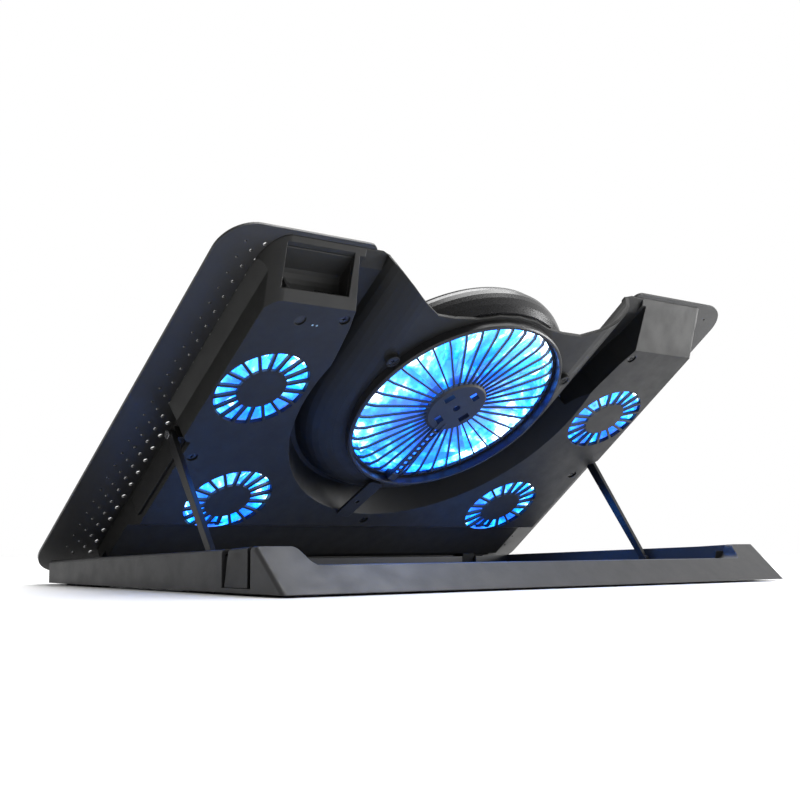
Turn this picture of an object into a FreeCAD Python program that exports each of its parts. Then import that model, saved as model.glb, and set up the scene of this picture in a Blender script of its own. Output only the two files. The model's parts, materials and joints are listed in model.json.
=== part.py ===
import FreeCAD, Part
import math
import os
from FreeCAD import Vector

# Laptop cooling pad. A wedge-shaped base stands on the desk, and a fan panel is hinged to its
# front bar. Two legs prop the panel up: their feet slide along toothed racks in the base.
# +X runs along the width, +Y to the rear, +Z up. The origin is under the middle of the whole pad.
# The panel is drawn flat, with x across, y up its slope and z along its normal, where z = 0 is
# the underside of the top plate. It is then tilted into place.

os.makedirs("parts", exist_ok=True)

# ---- driving dimensions, mm ----
SHIFT_Y = 13.9           # moves the drawing, centred on the base, to the middle of the whole pad
TILT = 37.69             # slope of the panel, degrees
PLATE_LOW_Y = -143.2     # lower edge of the top plate's underside
PLATE_LOW_Z = 7.3

BASE_HALF_W = 194.2
BASE_REAR = 126.8
BASE_Z = 1.0             # underside of the base, above its rubber feet
BASE_EDGE_R = 2.2        # rounding of the base's outer edges
ARM_INNER = 175.5        # inner wall of the side arms
WALL = 2.2
BAR_REAR = -112.0        # rear face of the front bar
BAR_TOP = 14.3
RIDGE_Y = 101.5          # where the sloping rear face starts
RIDGE_Z = 23.3
LOW_WALL_Z = 14.3
TOWER_X = 174.3          # inner end of the raised corner's flat top

PLATE_W = 400.0
PLATE_L = 287.8
PLATE_T = 1.5
PLATE_CORNER = 20.0
NOTCH_HALF_W = 105.0     # rear cut-out of the plate
NOTCH_S = 243.5
NOTCH_CORNER = 6.0       # rounding where the cut-out meets the plate's rear edge

FAN_S = 195.6            # centre of the large fan
SKIN = 2.0               # wall of the bottom cover
POD_DEPTH = 21.2
COVER_LOW = 22.5
LOWER_HALF_W = 163.5
NOTCH_LOW_S = 147.4      # where the sides step out above the legs' pivots
VALLEY_FLOOR = 3.0
VALLEY_R = 108.5
VALLEY_R_FLOOR = 101.0
BULGE_HALF_W = 98.0
POD_REAR = 285.0         # rear edge of both pods at the plate
POD_REAR_LOW = 258.0     # the same at their undersides
ROUND_LEFT = (14.0, 24.0)    # rounded outer rear corner of each pod, across and along
ROUND_RIGHT = (6.0, 9.0)
HOLE_R = 70.0
COLLAR_R = 72.2
COLLAR_DEPTH = 26.7

SMALL_FANS = {"upper_left": (140.0, 193.5), "upper_right": (-140.0, 193.5),
              "lower_left": (113.8, 96.7), "lower_right": (-113.8, 96.7)}
PETALS = 18
PETAL_IN = 14.6
PETAL_OUT = 28.0
PETAL_BAR = 1.7

HINGE_S = 20.8
HINGE_DEPTH = 12.0
HINGE_PIN_R = 2.0
LEG_S = 143.8
LEG_DEPTH = 12.9
LEG_IN = 169.9
LEG_OUT = 172.9
LEG_PIN_R = 1.5
FOOT_Y = 29.0
FOOT_Z = 13.0
FOOT_R = 2.75

STOP_X = 95.0
STOP_S = 4.4
STOP_Z = 4.6

LEFT, RIGHT = 1, -1
SIDES = (("left", LEFT), ("right", RIGHT))


# ---- helpers ----
def box(x0, x1, y0, y1, z0, z1):
    return Part.makeBox(abs(x1 - x0), y1 - y0, z1 - z0, Vector(min(x0, x1), y0, z0))


def cyl(r, z0, z1, x=0.0, y=0.0):
    return Part.makeCylinder(r, z1 - z0, Vector(x, y, z0))


def cyl_x(r, x0, x1, y, z):
    return Part.makeCylinder(r, abs(x1 - x0), Vector(min(x0, x1), y, z), Vector(1, 0, 0))


def cyl_y(r, y0, y1, x, z):
    return Part.makeCylinder(r, y1 - y0, Vector(x, y0, z), Vector(0, 1, 0))


def tube(r_out, r_in, z0, z1, x=0.0, y=0.0):
    return cyl(r_out, z0, z1, x, y).cut(cyl(r_in, z0 - 1, z1 + 1, x, y))


def prism(points, move):
    return Part.Face(Part.makePolygon(points + points[:1])).extrude(move)


def prism_x(yz, x0, x1):
    return prism([Vector(min(x0, x1), y, z) for y, z in yz], Vector(abs(x1 - x0), 0, 0))


def prism_y(xz, y0, y1):
    return prism([Vector(x, y0, z) for x, z in xz], Vector(0, y1 - y0, 0))


def prism_z(xy, z0, z1):
    return prism([Vector(x, y, z0) for x, y in xy], Vector(0, 0, z1 - z0))


def revolve(rz, x=0.0, y=0.0, angle=360):
    face = Part.Face(Part.makePolygon([Vector(r, 0, z) for r, z in rz + rz[:1]]))
    ring = face.revolve(Vector(0, 0, 0), Vector(0, 0, 1), angle)
    return ring.translated(Vector(x, y, 0))


def turned(shape, angle, x=0.0, y=0.0):
    copy = shape.copy()
    copy.rotate(Vector(x, y, 0), Vector(0, 0, 1), angle)
    return copy


def joined(shapes):
    solids = [solid for shape in shapes for solid in shape.Solids]
    return solids[0].multiFuse(solids[1:]).removeSplitter()


def carved(shape, tools):
    """Cuts every solid of the tools from a shape."""
    return shape.cut([solid for tool in tools for solid in tool.Solids])


def link(p, q, r_p, r_q, x0, x1):
    """Flat bar with round ends from p to q, both (y, z)."""
    length = math.hypot(q[0] - p[0], q[1] - p[1])
    ux, uz = (q[0] - p[0]) / length, (q[1] - p[1]) / length
    corners = [(p[0] - uz * r_p, p[1] + ux * r_p), (q[0] - uz * r_q, q[1] + ux * r_q),
               (q[0] + uz * r_q, q[1] - ux * r_q), (p[0] + uz * r_p, p[1] - ux * r_p)]
    return joined([prism_x(corners, x0, x1), cyl_x(r_p, x0, x1, *p), cyl_x(r_q, x0, x1, *q)])


def export(name, shape):
    placed = shape.copy()
    placed.translate(Vector(0, SHIFT_Y, 0))
    placed.exportStep("parts/" + name + ".step")


def on_panel(shape):
    """Tilts a shape that is drawn flat into the panel's place."""
    placed = shape.copy()
    placed.rotate(Vector(0, 0, 0), Vector(1, 0, 0), TILT)
    placed.translate(Vector(0, PLATE_LOW_Y, PLATE_LOW_Z))
    return placed


def panel_point(s, depth):
    """(y, z) in the base's frame of a point on the panel."""
    place = on_panel(Part.Vertex(0, s, -depth)).Point
    return (place.y, place.z)


def export_panel(name, shape):
    export(name, on_panel(shape))


HINGE = panel_point(HINGE_S, HINGE_DEPTH)
LEG_PIVOT = panel_point(LEG_S, LEG_DEPTH)


# ---- base ----
def arm_profile(inset):
    """Side view of the base, drawn in by inset."""
    slope_low = BASE_REAR - BASE_Z * (BASE_REAR - RIDGE_Y) / RIDGE_Z
    return [(-BASE_REAR + inset, BASE_Z), (-BASE_REAR + inset, 13.0 - inset),
            (-125.0 + inset, 14.7 - inset), (71.0, 21.7 - inset),
            (RIDGE_Y - 0.5 * inset, RIDGE_Z - inset), (slope_low - 1.4 * inset, BASE_Z)]


def corner_step():
    """Space above the low rear wall: an S-curve rises to the raised corner at each side."""
    half = [Vector(163.0, 0, LOW_WALL_Z), Vector(166.2, 0, 15.25), Vector(168.3, 0, 17.6),
            Vector(169.9, 0, 20.9), Vector(171.6, 0, 22.65), Vector(TOWER_X, 0, RIDGE_Z)]
    left_low = Part.Arc(half[0], half[1], half[2]).toShape()
    left_slope = Part.makeLine(half[2], half[3])
    left_high = Part.Arc(half[3], half[4], half[5]).toShape()
    side = [left_low, left_slope, left_high]
    up = Part.makeLine(half[5], Vector(TOWER_X, 0, 40))
    edges = [e.mirror(Vector(0, 0, 0), Vector(1, 0, 0)) for e in side + [up]] + side + [up]
    edges.append(Part.makeLine(Vector(-163.0, 0, LOW_WALL_Z), half[0]))
    edges.append(Part.makeLine(Vector(-TOWER_X, 0, 40), Vector(TOWER_X, 0, 40)))
    face = Part.Face(Part.Wire(Part.__sortEdges__(edges)))
    return face.extrude(Vector(0, 40, 0)).translated(Vector(0, 97.0, 0))


def vent_outline(grow):
    """Side view of the vent block, widened by grow to give the grooves beside it."""
    return [(73.5 - grow * 0.6, 1.6), (78.2 - grow * 2.6, 24.0), (94.6 + grow * 1.3, 24.0),
            (94.6 + grow * 1.3, 1.6)]


def base_block():
    """Solid wedge of the whole base with its outer edges rounded."""
    block = prism_x(arm_profile(0), -BASE_HALF_W, BASE_HALF_W)
    outer = [e for e in block.Edges if e.BoundBox.XLength < 0.01 and e.Length > 5
             and e.BoundBox.ZMax > BAR_TOP]
    return block.makeFillet(BASE_EDGE_R, outer)


def make_base_frame():
    frame = base_block()
    frame = frame.cut(box(-ARM_INNER, ARM_INNER, BAR_REAR, 97.0, 0, 40))
    frame = frame.cut(corner_step())
    frame = frame.cut(box(-150, 150, -130, BAR_REAR, BAR_TOP, 30))
    pockets = []
    for side in (LEFT, RIGHT):
        pockets.append(prism_x(arm_profile(WALL), side * (ARM_INNER + WALL),
                               side * (BASE_HALF_W - WALL)).common(
                                   box(-200, 200, -200, 97.0, 0, 40)))
        pockets.append(prism_x(vent_outline(2.4), side * (BASE_HALF_W - 2 * WALL),
                               side * (BASE_HALF_W + 1)).common(
                                   box(-200, 200, 60, 120, 3.2, 40)))
        pockets.append(box(side * 129.0, side * 143.0, -130, BAR_REAR + 1, 4.4, 30))
        pockets.append(cyl_x(HINGE_PIN_R + 0.02, side * 124.8, side * 147.2, *HINGE))
        pockets.append(box(side * 150.0, side * 172.0, -124.6, BAR_REAR - WALL, 0, 12.0))
    pockets.append(box(-122, 122, -124.6, BAR_REAR - WALL, 0, 12.0))
    pockets.append(prism_x([(99.2, 0), (99.2, 12.0), (110.6, 12.0), (122.4, 0)], -160, 160))
    frame = carved(frame, pockets)
    ledges = [box(s * 167.8, s * (ARM_INNER + 1), 18.0, 99.0, BASE_Z, 3.0) for s in (LEFT, RIGHT)]
    return joined([frame] + ledges)


def rack_outline():
    points = [(20, 3.0), (20, 11.6), (25.4, 11.6), (25.9, 10.1), (30.6, 10.0), (33.6, 8.6),
              (35.6, 7.4)]
    y = 35.6
    for _ in range(10):
        points += [(y + 3.2, 7.4), (y + 3.7, 5.0), (y + 5.2, 5.0), (y + 5.7, 7.4)]
        y += 5.7
    return points + [(94.6, 7.4), (94.6, 3.0)]


def make_base():
    export("base_frame", make_base_frame())
    lining = [(-171, 3.2), (-171, 19), (-161.9, 19), (-160.6, 14.6), (-157, 13.2), (157, 13.2),
              (160.6, 14.6), (161.9, 19), (171, 19), (171, 3.2)]
    export("rear_lining", prism_y(lining, 95.0, 96.9))
    for name, side in SIDES:
        low, high = side * (ARM_INNER + WALL + 0.1), side * (BASE_HALF_W - WALL - 0.1)
        export("arm_cover_" + name, box(low, high, -124.4, 96.8, BASE_Z, 3.0))
        export("leg_rack_" + name, prism_x(rack_outline(), side * 168.0, side * 175.4))
        block = prism_x(vent_outline(0), side * 191.9, side * 193.9)
        cap = prism_x(vent_outline(0), side * 189.9, side * 192.0)
        block = joined([block, cap.common(box(-200, 200, 60, 120, 17.0, 40))])
        block = block.common(base_block()).common(box(-200, 200, 60, 120, 3.4, 40))
        back = box(side * 189.9, side * 191.9, 70.4, 96.8, 3.2, 18.6)
        export("side_vent_" + name, joined([block, back]))
        export("hinge_pin_" + name,
               cyl_x(HINGE_PIN_R, side * 125.0, side * 147.0, *HINGE))
    feet = []
    for side in (LEFT, RIGHT):
        feet.append(box(side * 179.0, side * 190.0, -110.0, -70.0, 0, BASE_Z))
        feet.append(box(side * 179.0, side * 190.0, 58.0, 94.0, 0, BASE_Z))
    export("rubber_feet", Part.makeCompound(feet))


# ---- top plate ----
def plate_outline(z0, z1):
    sheet = box(-PLATE_W / 2, PLATE_W / 2, 0, PLATE_L, z0, z1)
    corners = [e for e in sheet.Edges if abs(e.BoundBox.ZLength - (z1 - z0)) < 0.01
               and e.BoundBox.DiagonalLength < z1 - z0 + 0.01]
    sheet = sheet.makeFillet(PLATE_CORNER, corners)
    notch = box(-NOTCH_HALF_W, NOTCH_HALF_W, NOTCH_S, PLATE_L + 5, z0 - 1, z1 + 1)
    low = [e for e in notch.Edges if e.BoundBox.DiagonalLength < z1 - z0 + 2.01
           and abs(e.BoundBox.YMin - NOTCH_S) < 0.01]
    notch = notch.makeFillet(13.0, low)
    sheet = sheet.cut(notch)
    rear = [e for e in sheet.Edges if abs(e.BoundBox.ZLength - (z1 - z0)) < 0.01
            and e.BoundBox.DiagonalLength < z1 - z0 + 0.01
            and abs(abs(e.BoundBox.XMin) - NOTCH_HALF_W) < 0.01
            and e.BoundBox.YMin > PLATE_L - 1]
    sheet = sheet.makeFillet(NOTCH_CORNER, rear)
    return sheet.fuse(cyl(77.4, z0, z1, 0, FAN_S)).removeSplitter()


def make_top():
    export_panel("top_plate", plate_outline(0, PLATE_T))
    pads = []
    for side in (LEFT, RIGHT):
        pads.append(box(side * 146.0, side * 154.0, 42.0, 122.0, PLATE_T, PLATE_T + 1.2))
        pads.append(box(side * 146.0, side * 154.0, 150.0, 230.0, PLATE_T, PLATE_T + 1.2))
    export_panel("plate_pads", Part.makeCompound(pads))
    for name, side in SIDES:
        make_stop(name, side)


def make_stop(name, side):
    """Flip-up stop at the plate's lower edge, which keeps the laptop from sliding off."""
    x0, x1 = side * (STOP_X - 18), side * (STOP_X + 18)
    blade = box(x0, x1, STOP_S - 1.2, STOP_S + 1.2, STOP_Z, 21.0)
    knuckle = cyl_x(1.7, x0, x1, STOP_S, STOP_Z)
    stop = joined([blade, knuckle]).cut(cyl_x(1.05, -130, 130, STOP_S, STOP_Z))
    export_panel("stop_" + name, stop)
    pad = box(side * (STOP_X - 14), side * (STOP_X + 14), STOP_S + 1.2, STOP_S + 2.6, 10.0, 19.5)
    export_panel("stop_pad_" + name, pad)
    ears = []
    for near, far in ((18.4, 21.4), (-21.4, -18.4)):
        e0, e1 = side * STOP_X + near, side * STOP_X + far
        ears.append(joined([box(e0, e1, STOP_S - 2.2, STOP_S + 2.2, PLATE_T, STOP_Z),
                            cyl_x(2.2, e0, e1, STOP_S, STOP_Z)]))
    ears = [e.cut(cyl_x(1.02, -130, 130, STOP_S, STOP_Z)) for e in ears]
    export_panel("stop_bracket_" + name, Part.makeCompound(ears))
    export_panel("stop_pin_" + name,
                 cyl_x(1.0, side * STOP_X - 21.2, side * STOP_X + 21.2, STOP_S, STOP_Z))


# ---- bottom cover ----
def bulge_section(inset, reach):
    """Half-turned section of the fan housing, from its axis to the valley, as (r, z) points."""
    arc = Part.Arc(Vector(BULGE_HALF_W - inset, 0, -VALLEY_FLOOR + inset),
                   Vector(89.2 - 0.8 * inset, 0, -14.6 + 0.7 * inset),
                   Vector(72.0 - 0.3 * inset, 0, -POD_DEPTH + inset)).toShape()
    points = [(p.x, p.z) for p in arc.discretize(9)]
    return [(0.0, reach), (BULGE_HALF_W - inset, reach)] + points + [(0.0, -POD_DEPTH + inset)]


def bulge_run(inset, reach, y0, y1):
    half = bulge_section(inset, reach)
    other = [(-x, z) for x, z in reversed(half) if x > 0]
    return prism_y([p for p in half if p[0] > 0] + other, y0, y1)


def rear_limit(inset):
    """Plan outline that ends the fan housing at the rear; it sweeps out to both pods."""
    side = [(44.7, 262.8), (58.4, 263.0), (69.5, 268.9), (76.4, 273.1), (83.0, 277.3),
            (89.9, 281.0), (93.9, 282.7), (97.7, 283.6), (104.0, 286.0)]
    bump = [(29.6 * math.sin(a) / math.sin(0.4053), FAN_S + 75.0 * math.cos(a) - inset)
            for a in (-0.4, -0.2, 0.0, 0.2, 0.4)]
    left = [(x, y - inset) for x, y in side]
    right = [(-x, y) for x, y in reversed(left)]
    return [(-104.0, 80.0)] + right + bump + left + [(104.0, 80.0)]


def rounded_rear(inset, rear, top, slant):
    """Slanted prism that rounds the outer rear corner of each pod."""
    start = 5.0
    y_rear = rear + (start - top) * slant
    half_w = 174.0 - inset
    edges, ends = [], []
    for side, (across, along) in ((LEFT, ROUND_LEFT), (RIGHT, ROUND_RIGHT)):
        a, b = across - inset, along - inset
        points = [Vector(side * (half_w - a + a * math.cos(i * math.pi / 16)),
                         y_rear - b + b * math.sin(i * math.pi / 16), start) for i in range(9)]
        curve = Part.BSplineCurve()
        curve.interpolate(points)
        edges.append(curve.toShape())
        edges.append(Part.makeLine(Vector(side * half_w, -150, start), points[0]))
        ends.append(points[-1])
    edges.append(Part.makeLine(ends[0], ends[1]))
    edges.append(Part.makeLine(Vector(half_w, -150, start), Vector(-half_w, -150, start)))
    face = Part.Face(Part.Wire(Part.__sortEdges__(edges)))
    return face.extrude(Vector(0, -40 * slant, -40))


def cover_form(inset, reach):
    """Solid form of the bottom cover, with every outer face drawn in by inset."""
    t = inset
    rear, rear_low = POD_REAR - 1.7 * t, POD_REAR_LOW - 0.6 * t
    side_view = [(COVER_LOW + t, reach), (COVER_LOW + t, -7.5 + t), (30.6 + t, -7.5 + t),
                 (30.6 + t, -12.0 + t), (62.0 + 0.4 * t, -12.0 + t),
                 (74.0 + 0.4 * t, -POD_DEPTH + t), (rear_low, -POD_DEPTH + t), (rear, reach)]
    form = prism_x(side_view, -180, 180)
    slant = (rear - rear_low) / (reach + POD_DEPTH - t)
    form = form.common(rounded_rear(t, rear + 0.05, reach, slant))
    front_view = [(174.0 - t, reach), (169.8 - t, -9.0), (169.5 - t, -30.0)]
    form = form.common(prism_y(front_view + [(-x, z) for x, z in reversed(front_view)], 0, 300))
    plan = [(LOWER_HALF_W - t, 0), (LOWER_HALF_W - t, NOTCH_LOW_S + t),
            (165.7 - t, NOTCH_LOW_S + t), (174.0 - t, 155.5 + t), (176.0, 300)]
    form = form.common(prism_z(plan + [(-x, y) for x, y in reversed(plan)], -30, 5))
    top = -VALLEY_FLOOR + t
    slope = (VALLEY_R - VALLEY_R_FLOOR) / (POD_DEPTH - VALLEY_FLOOR)
    valley = Part.makeCone(VALLEY_R_FLOOR + t + slope * (30 + top), VALLEY_R_FLOOR + t, 30 + top,
                           Vector(0, FAN_S, -30))
    channel = [(105.0 + t, FAN_S), (107.0 + t, 222), (110.5 + t, 245), (114.0 + t, 258),
               (119.0 + t, 300)]
    gap = prism_z(channel + [(-x, y) for x, y in reversed(channel)], -30, top)
    form = form.cut(valley.fuse(gap))
    if inset == 0:
        wing = [(97.5, NOTCH_S), (97.5, 283.5), (104.9, 286.2), (111.1, 288.2), (111.1, 300)]
        form = form.cut(prism_z(wing + [(-x, y) for x, y in reversed(wing)], -30, 5))
        thin = [(285.5, -0.2), (274.0, -3.05), (300.0, -3.05), (300.0, -0.2)]
        form = form.cut(prism_x(thin, -113, 113))
    bowl = revolve(bulge_section(t, reach), 0, FAN_S, -180)
    run = bulge_run(t, reach, FAN_S, 300).common(prism_z(rear_limit(t), -40, 10))
    return joined([form, bowl, run])


def petals(x, y, z0, z1):
    """Slots of a round fan grille."""
    ring = tube(PETAL_OUT, PETAL_IN, z0, z1, x, y)
    bars = [box(x - PETAL_BAR / 2, x + PETAL_BAR / 2, y, y + 40, z0 - 1, z1 + 1)
            for _ in range(PETALS)]
    bars = [turned(bar, i * 360 / PETALS + 10, x, y) for i, bar in enumerate(bars)]
    return ring.cut(bars[0].multiFuse(bars[1:]))


COVER_SCREWS = [(117.0, 250.4), (-117.0, 250.4), (0.6, 80.5), (156.4, 135.1), (-156.4, 135.1)]
BOSS_X, BOSS_S = 70.2, 227.3
BUTTON = (143.9, 246.5)
LIGHTS = [(134.6, 244.2), (131.8, 244.2)]
PORT_X0, PORT_X1 = 120.0, 163.0


def deck(z_shift, y_shift, thick):
    """Sloping floor of the rear trough, behind the top plate's edge."""
    line = [(NOTCH_S + 1.0, 0.0), (NOTCH_S + 3.5, -8.0), (263.0, -POD_DEPTH + SKIN)]
    upper = [(y + y_shift, z + z_shift) for y, z in line]
    if thick == 0:
        return prism_x([(upper[0][0], 5.0)] + upper + [(300, upper[-1][1]), (300, 5.0)], -99, 99)
    lower = [(y - thick, z - 0.2) for y, z in reversed(line)]
    return prism_x(upper + lower, -99, 99)


def make_cover():
    cover = cover_form(0, 0.0).cut(cover_form(SKIN, 1.0))
    inner_run = bulge_run(SKIN, 5.0, FAN_S, 300)
    cover = cover.cut(deck(0, 0, 0).common(inner_run))
    floor = deck(0, 0, SKIN).common(bulge_run(0.5, 0.0, FAN_S, 264.0))
    bosses = [cyl(4.8, -POD_DEPTH + 1, -2.0, x, y) for x, y in COVER_SCREWS]
    guard_bosses = [cyl(4.2, -24.4, -18.5, side * BOSS_X, BOSS_S) for side in (LEFT, RIGHT)]
    lugs = []
    for side in (LEFT, RIGHT):
        lugs.append(link((HINGE_S, -HINGE_DEPTH), (27.6, -6.5), 5.0, 5.8, side * 130.2,
                         side * 141.8).common(box(-150, 150, 0, 60, -30, 0)))
    cover = joined([cover, floor] + bosses + guard_bosses + lugs)
    cuts = [cyl(80.6, -POD_DEPTH + SKIN, 5, 0, FAN_S), cyl(HOLE_R, -40, 0, 0, FAN_S)]
    for side in (LEFT, RIGHT):
        cuts.append(cyl_x(HINGE_PIN_R + 0.05, side * 120, side * 150, HINGE_S, -HINGE_DEPTH))
        cuts.append(cyl(2.7, -30, -22.3, side * BOSS_X, BOSS_S))
        cuts.append(cyl(1.3, -30, -19.0, side * BOSS_X, BOSS_S))
    for x, y in COVER_SCREWS:
        cuts.append(cyl(3.2, -30, -POD_DEPTH + 2.6, x, y))
        cuts.append(cyl(1.3, -30, -POD_DEPTH + 10.0, x, y))
    for x, y in SMALL_FANS.values():
        cuts.append(petals(x, y, -30, -POD_DEPTH + SKIN + 0.5))
        cuts.append(tube(28.1, 25.0, -POD_DEPTH + SKIN, -2.0, x, y))
    cuts.append(cyl(3.4, -40, -POD_DEPTH + SKIN + 1, *BUTTON))
    cuts += [cyl(0.7, -40, -POD_DEPTH + SKIN + 1, x, y) for x, y in LIGHTS]
    window = [(290.0, -0.4), (255.6, -0.4), (255.6, -18.8), (262.0, -18.8), (290.0, -18.8)]
    cuts.append(prism_x(window, PORT_X0 - 1.9, PORT_X1 + 1.9).common(cover_form(SKIN - 0.8, 1.0)))
    mouth = [(282.0, -2.2), (250.0, -2.2), (250.0, -16.8), (263.6, -16.8), (300.0, -16.8),
             (300.0, -2.2)]
    cuts.append(prism_x(mouth, PORT_X0, PORT_X1))
    cover = carved(cover, cuts)
    return max(cover.Solids, key=lambda solid: solid.Volume)


def make_cover_fittings():
    export_panel("bottom_cover", make_cover())
    collar = revolve([(HOLE_R, -21.3), (COLLAR_R, -21.3), (COLLAR_R, -25.9),
                      (COLLAR_R - 0.8, -COLLAR_DEPTH), (HOLE_R, -COLLAR_DEPTH)], 0, FAN_S)
    export_panel("fan_collar", collar)
    heads = []
    for x, y in COVER_SCREWS:
        heads.append(screw(x, y, -POD_DEPTH + 0.9, 2.9))
    export_panel("cover_screws", Part.makeCompound(heads))
    guard = [screw(side * BOSS_X, BOSS_S, -24.0, 2.5) for side in (LEFT, RIGHT)]
    export_panel("guard_screws", Part.makeCompound(guard))
    strip = box(-6, 6, 0, 34.5, -22.8, -21.25)
    round_edges = [e for e in strip.Edges if e.BoundBox.DiagonalLength < 1.6]
    strip = strip.makeFillet(2.5, round_edges).cut(cyl(1.6, -30, 0, 0, 15))
    strip = turned(strip, 14).translated(Vector(22.5, 86.5, 0))
    export_panel("cable_cover", strip)


def screw(x, y, face, r_head):
    """Countersunk machine screw whose head looks down, at height face."""
    head = cyl(r_head, face, face + 1.6, x, y)
    shank = cyl(1.25, face + 1.6, face + 4.6, x, y)
    cross = box(x - 1.6, x + 1.6, y - 0.3, y + 0.3, face - 1, face + 0.8)
    return joined([head, shank]).cut(cross.fuse(turned(cross, 90, x, y)))


# ---- fans ----
def blades(count, r_in, r_out, width_in, width_out, z_mid, pitch_in, pitch_out, thick):
    """Twisted fan blades about the z axis."""
    sections = []
    for r, width, pitch in ((r_in, width_in, pitch_in), (r_out, width_out, pitch_out)):
        points = []
        for a, b in ((-1, -1), (1, -1), (1, 1), (-1, 1)):
            along, across = a * width / 2, b * thick / 2
            angle = math.radians(pitch)
            points.append(Vector(r, along * math.cos(angle) - across * math.sin(angle),
                                 z_mid + along * math.sin(angle) + across * math.cos(angle)))
        sections.append(Part.makePolygon(points + points[:1]))
    blade = Part.makeLoft(sections, True, True)
    return [turned(blade, i * 360 / count) for i in range(count)]


def rotor(r_cup, wall, z_top, z_end, r_shaft, blade_set):
    cup = tube(r_cup, r_cup - wall, z_end, z_top).fuse(cyl(r_cup, z_end, z_end + wall))
    shaft = cyl(r_shaft, z_end, z_top)
    whole = joined([cup, shaft] + blade_set)
    return whole.cut(tube(r_cup - wall, r_shaft, z_end + wall, z_top + 1))


def spider(r_ring_in, r_plate, arms, width, z0, z1):
    reach = [box(-width / 2, width / 2, 0, r_ring_in + 1.0, z0, z1) for _ in range(arms)]
    reach = [turned(arm, i * 360 / arms + 20) for i, arm in enumerate(reach)]
    return [cyl(r_plate, z0, z1)] + reach


def make_small_fan(name, x, y):
    place = Vector(x, y, 0)
    ring = tube(27.5, 26.2, -18.9, -4.2)
    frame = joined([ring] + spider(26.2, 9.6, 3, 2.4, -5.7, -4.2))
    export_panel("fan_frame_" + name, frame.translated(place))
    stator = tube(8.4, 1.45, -14.2, -5.7)
    export_panel("fan_motor_" + name, stator.translated(place))
    wheel = rotor(11.0, 1.6, -6.6, -16.8, 1.4,
                  blades(9, 10.2, 25.0, 7.2, 12.6, -11.8, 48, 30, 1.0))
    export_panel("rotor_" + name, wheel.translated(place))


def make_large_fan():
    place = Vector(0, FAN_S, 0)
    drum = revolve([(68.6, -18.9), (76.0, -18.9), (78.6, -14.5), (79.9, -10.0), (80.2, -6.7),
                    (79.7, -3.2), (78.2, -0.2), (68.6, -0.2)])
    housing = joined([drum] + spider(68.6, 20.0, 4, 6.0, -2.6, -0.2))
    export_panel("fan_housing_large", housing.translated(place))
    export_panel("fan_motor_large", tube(18.0, 2.55, -14.6, -2.6).translated(place))
    wheel = rotor(22.0, 2.0, -3.8, -17.2, 2.5,
                  blades(9, 20.6, 63.5, 18.0, 34.0, -10.6, 38, 19, 1.4))
    export_panel("rotor_large", wheel.translated(place))
    export_panel("light_ring", tube(68.4, 67.0, -18.6, -15.2).translated(place))
    export_panel("fan_guard", make_guard().translated(place))


GUARD_BARS = 38
HUB_R = 21.0
LADDER_ANGLE = 187.5


def make_guard():
    """Radial-bar guard: the bars run flat from the hub and bend inwards at the rim."""
    side_view = [(HUB_R - 1, -23.1), (59.5, -23.0), (64.5, -22.0), (67.6, -19.5), (69.0, -19.5),
                 (69.0, -20.4), (66.0, -23.2), (60.5, -24.3), (HUB_R - 1, -24.4)]
    bar = prism([Vector(-0.55, r, z) for r, z in side_view], Vector(1.1, 0, 0))
    bars = [turned(bar, i * 360 / GUARD_BARS) for i in range(GUARD_BARS)]
    rim = tube(69.8, 68.0, -21.2, -19.2)
    hub = revolve([(0.0, -22.2), (HUB_R, -22.2), (HUB_R, -24.0), (HUB_R - 1.6, -25.2), (0, -25.2)])
    ladder = []
    for side in (-1, 1):
        ladder.append(box(side * 2.6 - 0.6, side * 2.6 + 0.6, 14.0, 66.0, -25.6, -24.2))
    for i in range(10):
        ladder.append(box(-2.6, 2.6, 22.0 + i * 4.6, 23.2 + i * 4.6, -25.6, -24.2))
    ladder.append(box(-3.2, 3.2, 64.6, 68.6, -25.6, -20.0))
    ladder = [turned(piece, LADDER_ANGLE - 360) for piece in ladder]
    guard = joined([hub, rim] + bars + ladder)
    slot = box(-3.6, 3.6, 10.8, 15.4, -30, -20)
    slots = [turned(slot, angle) for angle in (34.0, 124.0, 214.0, 304.0)]
    return carved(guard, slots + [cyl(2.6, -30, -20)])


# ---- electronics in the left pod ----
BOARD_Z = -6.6
DIAL_X, DIAL_Z, DIAL_R = 159.2, -12.6, 3.4


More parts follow.
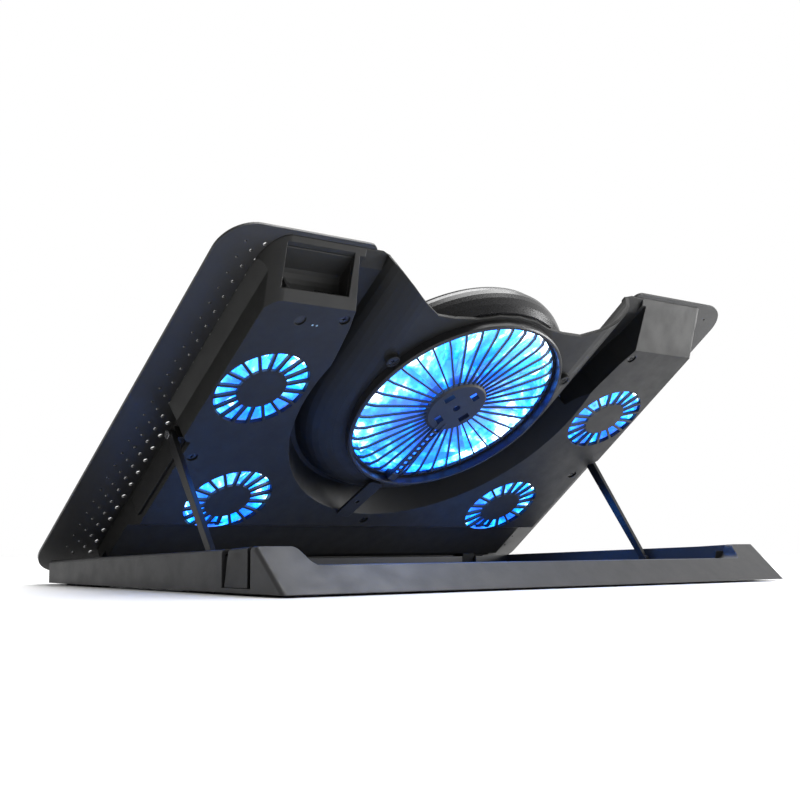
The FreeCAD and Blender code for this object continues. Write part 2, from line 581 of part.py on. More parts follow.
def make_electronics():
    export_panel("control_board", box(122.4, 162.0, 224.5, 255.0, BOARD_Z, BOARD_Z + 1.6))
    outer = prism_x([(280.6, -0.6), (256.0, -0.6), (256.0, -18.6), (261.2, -18.6)],
                    PORT_X0 - 1.7, PORT_X1 + 1.7)
    curve = Part.Arc(Vector(0, 268.0, -2.4), Vector(0, 260.6, -5.2), Vector(0, 258.0, -12.4))
    hollow = [(300.0, -2.2)] + [(p.y, p.z) for p in curve.toShape().discretize(7)]
    hollow += [(258.0, -16.8), (300.0, -16.8)]
    pocket = outer.cut(prism_x(hollow, PORT_X0, PORT_X1)).common(cover_form(SKIN + 0.1, 0.0))
    cut_usb = box(123.0, 137.0, 250, 259, -15.2, -9.0)
    cut_power = box(146.0, 155.4, 250, 259, -14.4, -10.6)
    cut_dial = cyl_y(1.3, 250, 260, DIAL_X, DIAL_Z)
    pocket = carved(pocket, [cut_usb, cut_power, cut_dial])
    export_panel("port_pocket", max(pocket.Solids, key=lambda solid: solid.Volume))
    usb = box(123.2, 136.8, 246.0, 257.9, -15.0, -9.2).cut(
        box(123.8, 136.2, 248.0, 260.0, -14.4, -9.8))
    export_panel("usb_socket", usb)
    export_panel("usb_tongue", box(124.6, 135.4, 248.0, 257.0, -11.8, -10.2))
    power = box(146.2, 155.2, 246.0, 257.9, -14.2, -10.8)
    power = power.makeFillet(1.5, [e for e in power.Edges if e.BoundBox.YLength > 11])
    inner = box(146.8, 154.6, 248.0, 260.0, -13.6, -11.4)
    inner = inner.makeFillet(1.0, [e for e in inner.Edges if e.BoundBox.YLength > 11])
    export_panel("power_socket", power.cut(inner))
    knob = cyl_y(DIAL_R, 259.1, 262.4, DIAL_X, DIAL_Z)
    grip = box(DIAL_X - 0.7, DIAL_X + 0.7, 262.3, 264.0, DIAL_Z - DIAL_R, DIAL_Z + DIAL_R)
    shaft = cyl_y(1.25, 247.0, 259.2, DIAL_X, DIAL_Z)
    export_panel("speed_dial", joined([knob, grip, shaft]))
    x, y = BUTTON
    button = cyl(3.3, -20.4, -18.2, x, y).fuse(cyl(1.5, -18.2, -9.0, x, y)).removeSplitter()
    export_panel("light_button", button)
    export_panel("button_switch", box(x - 3, x + 3, y - 3, y + 3, BOARD_Z - 1.2, BOARD_Z))
    lights = [cyl(0.65, -POD_DEPTH + 0.1, -POD_DEPTH + SKIN + 1.5, a, b) for a, b in LIGHTS]
    export_panel("status_lights", Part.makeCompound(lights))


# ---- legs ----
def make_legs():
    foot = (FOOT_Y, FOOT_Z)
    for name, side in SIDES:
        bar = link(LEG_PIVOT, foot, 3.2, 2.1, side * LEG_IN, side * LEG_OUT)
        pivot_hole = cyl_x(LEG_PIN_R + 0.05, side * 160, side * 180, *LEG_PIVOT)
        bar = bar.cut(pivot_hole)
        export("leg_" + name, bar)
        tip = cyl_x(FOOT_R, side * 169.2, side * 173.7, *foot).cut(bar)
        export("leg_tip_" + name, tip)
        rail = box(side * (LOWER_HALF_W + 0.1), side * 165.2, 78.0, 147.0, -17.5, -4.0)
        block = box(side * 165.2, side * 169.4, LEG_S - 5.0, LEG_S + 3.2, -LEG_DEPTH - 4.2,
                    -LEG_DEPTH + 4.2)
        hole = cyl_x(LEG_PIN_R + 0.02, side * 160, side * 180, LEG_S, -LEG_DEPTH)
        export_panel("leg_bracket_" + name, joined([rail, block]).cut(hole))
        pin = cyl_x(LEG_PIN_R, side * 163.7, side * 173.3, LEG_S, -LEG_DEPTH)
        export_panel("leg_pin_" + name,
                     pin.fuse(cyl_x(2.4, side * 173.2, side * 174.1, LEG_S, -LEG_DEPTH)))


make_base()
make_top()
make_cover_fittings()
make_large_fan()
for fan_name, (fan_x, fan_y) in SMALL_FANS.items():
    make_small_fan(fan_name, fan_x, fan_y)
make_electronics()
make_legs()
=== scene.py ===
import json
import math

import bpy
from mathutils import Matrix, Vector
from mathutils.geometry import delaunay_2d_cdt


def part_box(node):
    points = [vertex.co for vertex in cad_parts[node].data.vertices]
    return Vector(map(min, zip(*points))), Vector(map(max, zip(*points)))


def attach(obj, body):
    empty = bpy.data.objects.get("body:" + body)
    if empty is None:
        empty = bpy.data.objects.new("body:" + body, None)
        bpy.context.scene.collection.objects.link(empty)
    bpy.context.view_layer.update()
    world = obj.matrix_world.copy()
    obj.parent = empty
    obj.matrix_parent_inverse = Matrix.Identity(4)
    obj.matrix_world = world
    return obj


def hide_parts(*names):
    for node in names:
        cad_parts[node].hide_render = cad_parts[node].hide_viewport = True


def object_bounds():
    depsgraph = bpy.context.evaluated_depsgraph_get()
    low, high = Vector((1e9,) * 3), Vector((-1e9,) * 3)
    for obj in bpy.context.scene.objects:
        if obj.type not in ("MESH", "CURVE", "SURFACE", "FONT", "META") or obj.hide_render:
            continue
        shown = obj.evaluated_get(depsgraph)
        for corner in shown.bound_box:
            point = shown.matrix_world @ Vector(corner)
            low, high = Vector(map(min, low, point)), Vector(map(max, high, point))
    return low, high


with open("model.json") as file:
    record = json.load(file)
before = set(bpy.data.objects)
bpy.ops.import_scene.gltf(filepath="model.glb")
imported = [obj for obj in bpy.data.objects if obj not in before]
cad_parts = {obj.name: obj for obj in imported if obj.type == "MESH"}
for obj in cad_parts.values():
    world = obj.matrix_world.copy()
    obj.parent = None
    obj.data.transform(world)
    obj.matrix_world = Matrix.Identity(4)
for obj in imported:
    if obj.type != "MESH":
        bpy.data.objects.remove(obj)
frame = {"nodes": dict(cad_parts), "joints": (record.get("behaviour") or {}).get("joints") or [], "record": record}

# Laptop cooling pad: materials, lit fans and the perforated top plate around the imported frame.
# Lengths are in metres, written as millimetres times MM, unless a comment says mm.

cad_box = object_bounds()
scene = bpy.context.scene
nodes = frame["nodes"]
MM = 0.001

# ---- the panel's own frame: x across, y up its slope, z along its normal ----
PLATE_THICK = 1.5 * MM
TILT_GUESS = 0.6         # radians
TILT_ROUNDS = 40         # each round brings the tilt closer to the plate's box
plate_low, plate_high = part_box("top_plate")
tilt = TILT_GUESS
for _ in range(TILT_ROUNDS):
    tilt = math.atan2(plate_high.z - plate_low.z - PLATE_THICK * math.cos(tilt),
                      plate_high.y - plate_low.y - PLATE_THICK * math.sin(tilt))
PANEL = (Matrix.Translation((0.0, plate_low.y + PLATE_THICK * math.sin(tilt), plate_low.z))
         @ Matrix.Rotation(tilt, 4, "X"))


def axis_point(joint):
    """Where a fan's axis meets the underside of the top plate, in the scene's frame."""
    found = [j for j in frame["joints"] if j["name"] == joint][0]
    local = PANEL.inverted() @ Vector(found["pos_m"])
    return PANEL @ Vector((local.x, local.y, 0.0))


# ---- materials ----
NOISE_LOW, NOISE_HIGH = 0.3, 0.7    # most of a noise's values lie between these
BEVEL_SAMPLES = 4
DRIFT_SIZE = 70 * MM     # patches of slightly different shade
DRIFT_SHARE = 0.75       # the patches' share in the shade; flecks make the rest
FLECK_SIZE = 1.6 * MM
WEAR_SIZE = 11 * MM      # patches of different shine
LINE_SIZE = 0.25 * MM    # drawn lines of bare metal
LINE_DEPTH = 0.01 * MM
METAL_DRIFT = 14 * MM
METAL_EDGE = 0.3 * MM


class Shader:
    """A material under construction; each call adds a node and gives back its output."""

    def __init__(self, name):
        self.material = bpy.data.materials.new(name)
        self.material.use_nodes = True
        self.tree = self.material.node_tree
        self.tree.nodes.clear()
        self.coord = self.add("ShaderNodeTexCoord").outputs["Object"]

    def add(self, kind, inputs=None, **settings):
        made = self.tree.nodes.new(kind)
        for key, value in settings.items():
            setattr(made, key, value)
        for key, value in (inputs or {}).items():
            if isinstance(value, bpy.types.NodeSocket):
                self.tree.links.new(value, made.inputs[key])
            else:
                made.inputs[key].default_value = value
        return made

    def noise(self, size, detail=2.0, rough=0.5, coord=None):
        """Noise whose blobs are about size metres across."""
        return self.add("ShaderNodeTexNoise", {"Vector": coord or self.coord, "Scale": 1.0 / size,
                                               "Detail": detail, "Roughness": rough}).outputs["Fac"]

    def span(self, value, low, high, start=0.0, end=1.0):
        """Maps start..end to low..high."""
        made = self.add("ShaderNodeMapRange", {"Value": value, "From Min": start,
                                               "From Max": end, "To Min": low, "To Max": high})
        return made.outputs["Result"]

    def math(self, operation, a, b=0.0, c=0.0):
        return self.add("ShaderNodeMath", {0: a, 1: b, 2: c}, operation=operation).outputs[0]

    def ramp(self, value, stops):
        made = self.add("ShaderNodeValToRGB", {"Fac": value})
        ramp = made.color_ramp
        while len(ramp.elements) < len(stops):
            ramp.elements.new(0.5)
        for element, (place, colour) in zip(ramp.elements, stops):
            element.position = place
            element.color = (*colour, 1.0)
        return made.outputs["Color"]

    def shades(self, value, dark, light):
        """Colour that drifts from dark to light with a noise."""
        return self.ramp(value, [(NOISE_LOW, dark), (NOISE_HIGH, light)])

    def varied(self, value, low, high):
        """Number that drifts from low to high with a noise."""
        return self.span(value, low, high, NOISE_LOW, NOISE_HIGH)

    def relief(self, parts, edge=0.0):
        """Bumps layered over each other, as (height, depth in metres), over rounded edges."""
        normal = None
        if edge:
            bevel = self.add("ShaderNodeBevel", {"Radius": edge}, samples=BEVEL_SAMPLES)
            normal = bevel.outputs["Normal"]
        for height, depth in parts:
            made = self.add("ShaderNodeBump", {"Height": height, "Distance": depth,
                                               "Strength": 1.0})
            if normal is not None:
                self.tree.links.new(normal, made.inputs["Normal"])
            normal = made.outputs["Normal"]
        return normal

    def fan_polar(self, centre):
        """Radius and angle about a fan's axis."""
        local = self.add("ShaderNodeMapping", {"Vector": self.coord, "Location": centre,
                                               "Rotation": (tilt, 0.0, 0.0)},
                         vector_type="TEXTURE").outputs["Vector"]
        split = self.add("ShaderNodeSeparateXYZ", {"Vector": local})
        x, y = split.outputs["X"], split.outputs["Y"]
        radius = self.math("SQRT", self.math("ADD", self.math("MULTIPLY", x, x),
                                             self.math("MULTIPLY", y, y)))
        return radius, self.math("ARCTAN2", y, x)

    def finish(self, **inputs):
        named = {key.replace("_", " "): value for key, value in inputs.items()}
        bsdf = self.add("ShaderNodeBsdfPrincipled", named)
        self.add("ShaderNodeOutputMaterial", {"Surface": bsdf.outputs["BSDF"]})
        return self.material


def moulded(name, dark, light, rough, grain=0.45 * MM, depth=0.02 * MM, edge=0.7 * MM,
            specular=0.5, metallic=0.0):
    """Moulded or painted part: soft colour drift, fine spark-eroded grain, handled edges."""
    s = Shader(name)
    drift = s.noise(DRIFT_SIZE, 3.0)
    fleck = s.noise(FLECK_SIZE, 2.0)
    mixed = s.math("ADD", s.math("MULTIPLY", drift, DRIFT_SHARE),
                   s.math("MULTIPLY", fleck, 1.0 - DRIFT_SHARE))
    fine = s.noise(grain, 3.0, 0.6)
    wear = s.noise(WEAR_SIZE, 4.0, 0.6)
    return s.finish(Base_Color=s.shades(mixed, dark, light),
                    Roughness=s.varied(wear, *rough),
                    Specular_IOR_Level=specular, Metallic=metallic,
                    Normal=s.relief([(fine, depth), (wear, depth)], edge))


def brushed(name, dark, light, rough, along):
    """Bare metal with fine drawn lines along one axis."""
    s = Shader(name)
    stretch = s.add("ShaderNodeMapping", {"Vector": s.coord, "Scale": along}).outputs["Vector"]
    lines = s.noise(LINE_SIZE, 3.0, 0.6, stretch)
    drift = s.noise(METAL_DRIFT, 3.0)
    return s.finish(Base_Color=s.shades(drift, dark, light),
                    Roughness=s.varied(lines, *rough),
                    Specular_IOR_Level=0.5, Metallic=1.0,
                    Normal=s.relief([(lines, LINE_DEPTH)], METAL_EDGE))


# Colour of the painted glow by its level, from the hub's deep blue to a painted white highlight beside a lamp.
BLUES = [(0.0, (0.0, 0.012, 0.20)), (0.35, (0.0, 0.07, 0.75)), (0.6, (0.0, 0.21, 1.0)),
         (0.74, (0.10, 0.48, 1.0)), (0.85, (0.62, 0.86, 1.0)), (0.95, (1.0, 1.0, 1.0))]
HUB_LEVEL, RIM_LEVEL = 0.12, 0.62
# SWEEP_LEVEL paints a highlight: the glow is brighter on one side than the other
SWEEP_LEVEL = 0.17       # how much one side is brighter than the other
BLADE_LEVEL = 0.17       # how strongly the streaks show
BLADE_LEAN = 42.0        # how far the streaks swirl, radians per metre of radius
CLOUD_SIZE = 9 * MM
CLOUD_LEVELS = (-0.2, 0.3)
DIM, BRIGHT = 0.35, 1.6  # strength of the light at the lowest and the highest level
CLEAR_BODY = (0.25, 0.5, 0.8)
DARK_BODY = (0.008, 0.008, 0.009)


def lit(name, centre, strength, inner, outer, turn, streaks, limit=None):
    """Clear plastic given a painted blue glow that stands in for the lamps' light: painted white highlights near
    them, deep blue towards the hub.

    The level rises from the radius inner to outer, and is highest on the side at the angle
    turn; both rises are painted highlights. Past the radius limit the plastic is dark and gives no light.
    """
    s = Shader(name)
    radius, angle = s.fan_polar(centre)
    # painted highlights: the glow's level is raised towards the lamps at the rim and on the side at the angle turn
    rim = s.span(radius, HUB_LEVEL, RIM_LEVEL, inner, outer)
    sweep = s.math("MULTIPLY", s.math("COSINE", s.math("ADD", angle, -turn)), SWEEP_LEVEL)
    swirl = s.math("ADD", s.math("MULTIPLY", angle, float(streaks)),
                   s.math("MULTIPLY", radius, BLADE_LEAN))
    blade = s.math("MULTIPLY", s.math("SINE", swirl), BLADE_LEVEL)
    cloud = s.varied(s.noise(CLOUD_SIZE, 3.0, 0.6), *CLOUD_LEVELS)
    level = s.math("ADD", s.math("ADD", rim, sweep), s.math("ADD", blade, cloud))
    colour = s.ramp(level, BLUES)
    power = s.span(level, DIM * strength, BRIGHT * strength)
    if limit is not None:
        inside = s.math("LESS_THAN", radius, limit)
        power = s.math("MULTIPLY", power, inside)
        # Sockets 6 and 7 are the two colours, and output 2 is the mixed one.
        base = s.add("ShaderNodeMix", {"Factor": inside, 6: (*DARK_BODY, 1.0),
                                       7: (*CLEAR_BODY, 1.0)}, data_type="RGBA").outputs[2]
    else:
        base = s.shades(s.noise(6 * MM), tuple(0.85 * c for c in CLEAR_BODY), CLEAR_BODY)
    fine = s.noise(0.9 * MM, 2.0)
    return s.finish(Base_Color=base, Emission_Color=colour, Emission_Strength=power,
                    Roughness=s.varied(fine, 0.22, 0.4),
                    Normal=s.relief([(fine, 0.02 * MM)]))


def grey(value, tint=0.0):
    """Grey whose blue is higher by the share tint."""
    return (value, value, value * (1.0 + tint))


# Each finish has its dark and light shade and its range of roughness.
FINISHES = {
    "base_plastic": moulded("base_plastic", grey(0.020, 0.05), grey(0.030, 0.05), (0.42, 0.55)),
    # The cover's blue is painted lower (tint -0.1) so that the fans' blue light on it comes out neutral: a painted
    # counter-tint for that light, not the plastic's own tone.
    "cover_plastic": moulded("cover_plastic", grey(0.006, -0.1), grey(0.011, -0.1), (0.46, 0.6),
                             specular=0.4),
    "dark_plastic": moulded("dark_plastic", grey(0.007, 0.05), grey(0.012, 0.05), (0.45, 0.6)),
    "guard_plastic": moulded("guard_plastic", grey(0.010, 0.1), grey(0.016, 0.1), (0.3, 0.42),
                             edge=0.3 * MM),
    "housing_plastic": moulded("housing_plastic", grey(0.010, 0.1), grey(0.017, 0.1),
                               (0.38, 0.5)),
    "plate_metal": moulded("plate_metal", grey(0.032, 0.0), grey(0.044, 0.0), (0.36, 0.48),
                           grain=0.6 * MM, depth=0.012 * MM, edge=0.25 * MM, metallic=0.35),
    "motor_metal": brushed("motor_metal", grey(0.42), grey(0.55), (0.25, 0.4), (1, 1, 12)),
    "rubber": moulded("rubber", grey(0.012), grey(0.018), (0.7, 0.85), grain=0.8 * MM,
                      depth=0.05 * MM, edge=0.4 * MM, specular=0.25),
    "bright_steel": brushed("bright_steel", grey(0.5), grey(0.62), (0.18, 0.3), (8, 1, 1)),
    "screw_steel": brushed("screw_steel", grey(0.05), grey(0.09), (0.3, 0.45), (1, 1, 1)),
    "leg_metal": moulded("leg_metal", grey(0.018, 0.05), grey(0.028, 0.05), (0.28, 0.4),
                         grain=0.5 * MM, edge=0.4 * MM, metallic=0.6),
    "circuit_board": moulded("circuit_board", (0.004, 0.035, 0.016), (0.008, 0.06, 0.025),
                             (0.3, 0.45), grain=1.2 * MM, edge=0.2 * MM),
    "control_plastic": moulded("control_plastic", grey(0.016), grey(0.024), (0.35, 0.48),
                               edge=0.3 * MM),
    "light_plastic": moulded("light_plastic", (0.3, 0.5, 0.7), (0.4, 0.6, 0.8), (0.3, 0.4)),
}


def dress(node, material):
    """Gives a CAD node a material that the object holds, and not its mesh."""
    mesh = nodes[node].data
    if not mesh.materials:
        mesh.materials.append(material)
    for slot in nodes[node].material_slots:
        slot.link = "OBJECT"
        slot.material = material


slot_of = {part["node"]: part["material_slot"] for part in frame["record"]["subparts"]}
for name in nodes:
    dress(name, FINISHES.get(slot_of.get(name), FINISHES["dark_plastic"]))

# ---- lit fans ----
# The rotors, small frames and large housing are no lamps: their blue glow and white highlights are painted on as
# emission.
FAN_NAMES = ("upper_left", "upper_right", "lower_left", "lower_right")
LARGE = axis_point("rotor_large_spin")
small = {name: axis_point("rotor_" + name + "_spin") for name in FAN_NAMES}
for name, centre in small.items():
    dress("rotor_" + name, lit("lit_fan_" + name, centre, strength=3.2, inner=8 * MM,
                               outer=26 * MM, turn=1.2, streaks=9))
    dress("fan_frame_" + name, lit("lit_frame_" + name, centre, strength=3.6, inner=12 * MM,
                                   outer=30 * MM, turn=1.2, streaks=6))
    dress("fan_motor_" + name, FINISHES["motor_metal"])
dress("rotor_large", lit("lit_fan_large", LARGE, strength=2.2, inner=14 * MM, outer=66 * MM,
                         turn=0.9, streaks=9))
dress("light_ring", lit("lit_ring", LARGE, strength=5.0, inner=0.0, outer=66 * MM,
                        turn=2.0, streaks=3))
dress("fan_housing_large", lit("lit_housing_large", LARGE, strength=1.6, inner=20 * MM,
                               outer=70 * MM, turn=2.0, streaks=5, limit=69 * MM))


def mesh_piece(name, verts, faces, body, material):
    mesh = bpy.data.meshes.new(name)
    mesh.from_pydata([tuple(v) for v in verts], [], faces)
    mesh.validate()
    mesh.materials.append(material)
    piece = bpy.data.objects.new(name, mesh)
    scene.collection.objects.link(piece)
    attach(piece, body)
    return piece


def ring_section(name, centre, section, steps, body, material):
    """A closed section, as (radius, height) in mm, turned about a fan's axis."""
    local = PANEL.inverted() @ centre
    section = [(r * MM, h * MM) for r, h in section]
    verts, faces = [], []
    count = len(section)
    for i in range(steps):
        a = 2 * math.pi * i / steps
        for r, h in section:
            verts.append(PANEL @ Vector((local.x + r * math.cos(a), local.y + r * math.sin(a), h)))
        for k in range(count):
            p, q = i * count + k, i * count + (k + 1) % count
            nxt = (i + 1) % steps * count
            faces.append((p, nxt + k, nxt + (k + 1) % count, q))
    return mesh_piece(name, verts, faces, body, material)


# Light guides lie under the plate, close the back of each fan and glow through its blades; their glow is painted
# on as emission, with painted white highlights, in place of the lamps' light.
# Their sections are (radius, height below the plate's underside), mm.
SMALL_GUIDE = [(10.2, -3.9), (27.2, -3.9), (27.6, -3.4), (27.2, -2.6), (10.2, -2.6)]
LARGE_GUIDE = [(21.0, -3.4), (68.2, -3.4), (68.4, -3.1), (68.2, -2.8), (21.0, -2.8)]
SMALL_STEPS, LARGE_STEPS = 72, 144
for name, centre in small.items():
    ring_section("light_guide_" + name, centre, SMALL_GUIDE, SMALL_STEPS, "panel",
                 lit("lit_guide_" + name, centre, strength=3.6,
                                      inner=8 * MM, outer=27 * MM, turn=1.2, streaks=9))
ring_section("light_guide_large", LARGE, LARGE_GUIDE, LARGE_STEPS, "panel",
             lit("lit_guide_large", LARGE, strength=2.6, inner=16 * MM, outer=68 * MM,
                 turn=0.9, streaks=19))

# ---- perforated top plate ----
# Holes stand in staggered columns. Each has a diamond cell, drawn on a grid of whole units.
# Lengths in this section are in mm, and vertex() turns them into metres.
COLUMN_GAP = 5.765       # from one column of holes to the next
ROW_GAP = 10.9           # from one hole to the next in its column
ROW_START = 3.45         # where the rows of holes start, up the plate
CELL = 4                 # half of a cell's diagonal, in units
UNIT_X, UNIT_Y = COLUMN_GAP / CELL, ROW_GAP / (2 * CELL)
COLUMNS, ROWS = 32, 28   # columns on each side of the middle, and rows tried in each
HOLE_SIDES = 16
HOLES_HALF_W = 186.0
HOLES_LOW, HOLES_HIGH = 16.0, 276.0
HOLES_EDGE = 5.5         # plain margin kept around the cut-out
# Radius of the holes out to this distance from the middle, mm: they shrink towards the margin.
HOLE_SIZES = ((169.0, 1.5), (175.0, 1.2), (181.0, 0.95), (HOLES_HALF_W, 0.75))
MERGE_GAP = 1e-5         # corners closer than this are one corner
MATCH_DIGITS = 3         # decimals kept when corners are matched
HALF_W, LENGTH, CORNER = 200.0, 287.8, 20.0
NOTCH_W, NOTCH_LOW, NOTCH_CORNER, NOTCH_TIP = 105.0, 243.5, 13.0, 6.0
LOBE_R, LOBE_Y = 77.4, 195.6


def arc(x, y, r, start, end, steps):
    """Points on a circle between two angles in degrees, with both ends."""
    return [(x + r * math.cos(math.radians(start + (end - start) * i / steps)),
             y + r * math.sin(math.radians(start + (end - start) * i / steps)))
            for i in range(steps + 1)]


def plate_outline():
    """The plate's outline, counter-clockwise, with its cut-out and round lobe."""
    lobe = math.degrees(math.asin((NOTCH_LOW - LOBE_Y) / LOBE_R))
    right = arc(HALF_W - CORNER, CORNER, CORNER, -90, 0, 12)
    right += arc(HALF_W - CORNER, LENGTH - CORNER, CORNER, 0, 90, 12)
    right += arc(NOTCH_W + NOTCH_TIP, LENGTH - NOTCH_TIP, NOTCH_TIP, 90, 180, 6)
    right += arc(NOTCH_W - NOTCH_CORNER, NOTCH_LOW + NOTCH_CORNER, NOTCH_CORNER, 0, -90, 8)
    top = arc(0.0, LOBE_Y, LOBE_R, lobe, 180 - lobe, 48)
    return right + top + [(-x, y) for x, y in reversed(right)]


def inside(point, outline):
    """Whether a point lies inside a closed outline."""
    x, y = point
    odd = False
    for (x0, y0), (x1, y1) in zip(outline, outline[1:] + outline[:1]):
        if (y0 > y) != (y1 > y) and x < x0 + (y - y0) * (x1 - x0) / (y1 - y0):
            odd = not odd
    return odd


def make_plate():
    """The top plate with its holes: cells with a hole each, and plain triangles around them."""
    outline = plate_outline()
    around = [(HOLES_EDGE * math.cos(a * math.pi / 4), HOLES_EDGE * math.sin(a * math.pi / 4))
              for a in range(8)]
    cells = set()
    for column in range(-COLUMNS, COLUMNS + 1):
        for row in range(ROWS):
            i, j = column * CELL, (2 * row + column % 2) * CELL
            x, y = i * UNIT_X, ROW_START + j * UNIT_Y
            if (abs(x) < HOLES_HALF_W and HOLES_LOW < y < HOLES_HIGH
                    and all(inside((x + dx, y + dy), outline) for dx, dy in around)):
                cells.add((i, j))
    corners = [(CELL, 0), (0, CELL), (-CELL, 0), (0, -CELL), (CELL, 0)]
    ring = [(a[0] + (b[0] - a[0]) * k // CELL, a[1] + (b[1] - a[1]) * k // CELL)
            for a, b in zip(corners, corners[1:]) for k in range(CELL)]
    sides = {}
    for i, j in cells:
        for k in range(HOLE_SIDES):
            a, b = ring[k], ring[(k + 1) % HOLE_SIDES]
            key = frozenset(((i + a[0], j + a[1]), (i + b[0], j + b[1])))
            sides[key] = sides.get(key, 0) + 1
    flat, index = list(outline), {}
    count = len(outline)
    edges = [(k, (k + 1) % count) for k in range(count)]
    for key in sorted(tuple(sorted(k)) for k, times in sides.items() if times == 1):
        pair = []
        for a, b in key:
            if (a, b) not in index:
                index[(a, b)] = len(flat)
                flat.append((a * UNIT_X, ROW_START + b * UNIT_Y))
            pair.append(index[(a, b)])
        edges.append(tuple(pair))
    net = delaunay_2d_cdt([Vector(p) for p in flat], edges, [], 0, MERGE_GAP)
    points, triangles = net[0], net[2]
    verts, faces, known = [], [], {}

    def vertex(x, y, layer):
        key = (round(x, MATCH_DIGITS), round(y, MATCH_DIGITS), layer)
        if key not in known:
            known[key] = len(verts)
            verts.append(PANEL @ Vector((x * MM, y * MM, PLATE_THICK * layer)))
        return known[key]

    def in_cell(x, y):
        u, v = x / UNIT_X, (y - ROW_START) / UNIT_Y
        near_i, near_j = round(u / CELL) * CELL, round(v / CELL) * CELL
        return any((i, j) in cells and abs(u - i) + abs(v - j) < CELL
                   for i in (near_i - CELL, near_i, near_i + CELL)
                   for j in (near_j - CELL, near_j, near_j + CELL))

    for triangle in triangles:
        corners = [points[k] for k in triangle]
        x = sum(p[0] for p in corners) / 3
        y = sum(p[1] for p in corners) / 3
        if not inside((x, y), outline) or in_cell(x, y):
            continue
        faces.append([vertex(p[0], p[1], 1) for p in corners])
        faces.append([vertex(p[0], p[1], 0) for p in reversed(corners)])
    for (x0, y0), (x1, y1) in zip(outline, outline[1:] + outline[:1]):
        faces.append([vertex(x0, y0, 0), vertex(x1, y1, 0), vertex(x1, y1, 1),
                      vertex(x0, y0, 1)])
    for i, j in sorted(cells):
        x, y = i * UNIT_X, ROW_START + j * UNIT_Y
        radius = [size for limit, size in HOLE_SIZES if abs(x) < limit][0]
        outer = [((i + a) * UNIT_X, ROW_START + (j + b) * UNIT_Y) for a, b in ring]
        inner = arc(x, y, radius, 0, 360, HOLE_SIDES)[:HOLE_SIDES]
        for k in range(HOLE_SIDES):
            n = (k + 1) % HOLE_SIDES
            faces.append([vertex(*outer[k], 1), vertex(*outer[n], 1), vertex(*inner[n], 1),
                          vertex(*inner[k], 1)])
            faces.append([vertex(*outer[n], 0), vertex(*outer[k], 0), vertex(*inner[k], 0),
                          vertex(*inner[n], 0)])
            faces.append([vertex(*inner[k], 1), vertex(*inner[n], 1), vertex(*inner[n], 0),
                          vertex(*inner[k], 0)])
    piece = mesh_piece("perforated_plate", verts, faces, "panel",
                       FINISHES["plate_metal"])
    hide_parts("top_plate")
    return piece


make_plate()

# ---- studio ----
FLOOR = 1.5              # half of the floor's side
FLOOR_GAP = 0.2 * MM     # the floor lies this far under the feet
floor_mesh = bpy.data.meshes.new("floor")
floor_mesh.from_pydata([(-FLOOR, -FLOOR, 0), (FLOOR, -FLOOR, 0), (FLOOR, FLOOR, 0),
                        (-FLOOR, FLOOR, 0)], [], [(0, 1, 2, 3)])
floor = bpy.data.objects.new("floor", floor_mesh)
scene.collection.objects.link(floor)
floor.location.z = cad_box[0][2] - FLOOR_GAP
pale = Shader("floor_pale")
floor_mesh.materials.append(pale.finish(
    Base_Color=pale.shades(pale.noise(0.4), grey(0.93), grey(0.95)),
    Roughness=pale.span(pale.noise(0.05), 0.6, 0.7), Specular_IOR_Level=0.2))

# The studio is white in front of the photo's view, dimmer overhead and dimmest behind it.
WHITE_SIDE = (-0.72, -0.69, 0.1)
FADE_FROM, FADE_TO = -0.35, 0.55    # how far towards the white side the fade starts and ends
DIMMEST, WHITE = 0.3, 1.0
world = bpy.data.worlds.new("studio")
scene.world = world
world.use_nodes = True
sky = world.node_tree
direction = sky.nodes.new("ShaderNodeTexCoord").outputs["Generated"]
facing = sky.nodes.new("ShaderNodeVectorMath")
facing.operation = "DOT_PRODUCT"
facing.inputs[1].default_value = WHITE_SIDE
sky.links.new(direction, facing.inputs[0])
shade = sky.nodes.new("ShaderNodeMapRange")
for socket, value in (("From Min", FADE_FROM), ("From Max", FADE_TO),
                      ("To Min", DIMMEST), ("To Max", WHITE)):
    shade.inputs[socket].default_value = value
sky.links.new(facing.outputs["Value"], shade.inputs["Value"])
sky.nodes["Background"].inputs["Color"].default_value = (1.0, 1.0, 1.0, 1.0)
sky.links.new(shade.outputs["Result"], sky.nodes["Background"].inputs["Strength"])
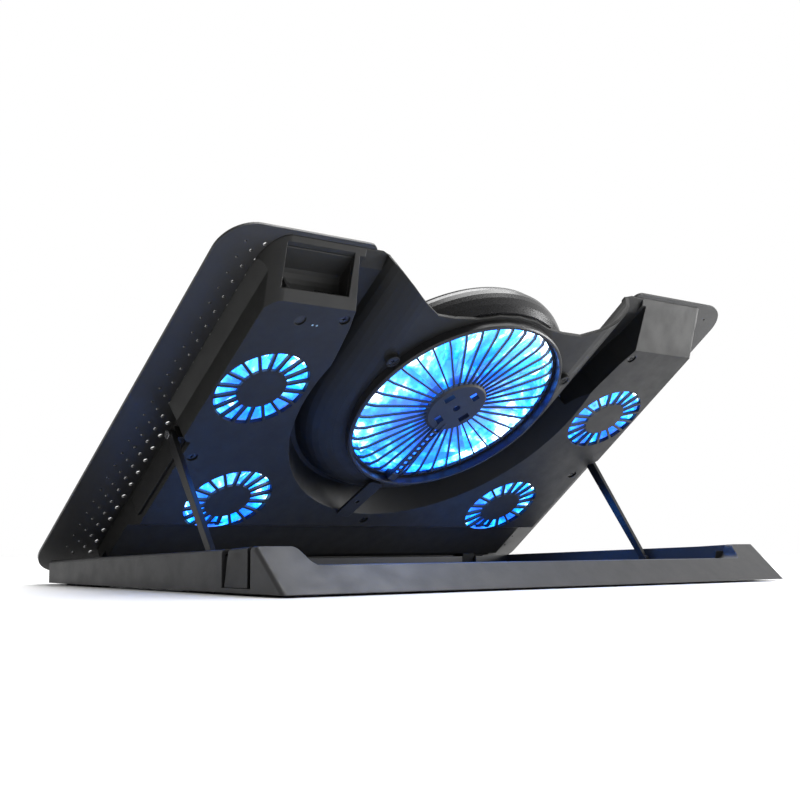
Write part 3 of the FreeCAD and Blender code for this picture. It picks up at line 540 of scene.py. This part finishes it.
scene.view_settings.view_transform = "Standard"


def soft_light(name, place, target, size, power, colour=(1.0, 1.0, 1.0)):
    """A round area light of size metres and power watts that the camera does not see."""
    data = bpy.data.lights.new(name, "AREA")
    data.shape = "DISK"
    data.size = size
    data.energy = power
    data.color = colour
    lamp = bpy.data.objects.new(name, data)
    lamp.location = place
    lamp.rotation_euler = (Vector(target) - Vector(place)).to_track_quat("-Z", "Y").to_euler()
    lamp.visible_camera = False
    scene.collection.objects.link(lamp)
    return lamp


soft_light("overhead", place=(-0.5, -0.2, 1.6), target=(-0.2, 0.1, 0.0), size=1.6, power=34.0)
soft_light("right_fill", place=(-1.5, 0.7, 0.25), target=(-0.15, 0.05, 0.08), size=0.7,
           power=20.0)

# Blue light that leaves each fan through its grille.
GLOW = (0.03, 0.25, 1.0)
GLOW_DROP = 27.5 * MM    # how far the lights are below the plate
LARGE_GLOW, SMALL_GLOW = (0.11, 0.06), (0.045, 0.025)    # size in m and power in W
DOWN = (PANEL.to_3x3() @ Vector((0.0, 0.0, -1.0))).normalized()
for name, centre, (size, power) in [("large", LARGE, LARGE_GLOW)] + [
        (name, centre, SMALL_GLOW) for name, centre in small.items()]:
    start = centre + DOWN * GLOW_DROP
    lamp = soft_light("glow_" + name, start, start + DOWN, size, power, GLOW)
    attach(lamp, "panel")

LENS, SENSOR = 57.41, 36.0    # mm
CAMERA_PLACE = (0.52297, 0.62518, 0.02538)
YAW, PITCH, ROLL = math.radians(39.274), math.radians(6.333), math.radians(-0.109)
camera_data = bpy.data.cameras.new("camera")
camera_data.lens = LENS
camera_data.sensor_width = SENSOR
camera = bpy.data.objects.new("camera", camera_data)
camera.location = CAMERA_PLACE
forward = Vector((-math.sin(YAW) * math.cos(PITCH), -math.cos(YAW) * math.cos(PITCH),
                  math.sin(PITCH)))
camera.rotation_euler = (forward.to_track_quat("-Z", "Y").to_matrix()
                         @ Matrix.Rotation(ROLL, 3, "Z")).to_euler()
scene.collection.objects.link(camera)
scene.camera = camera
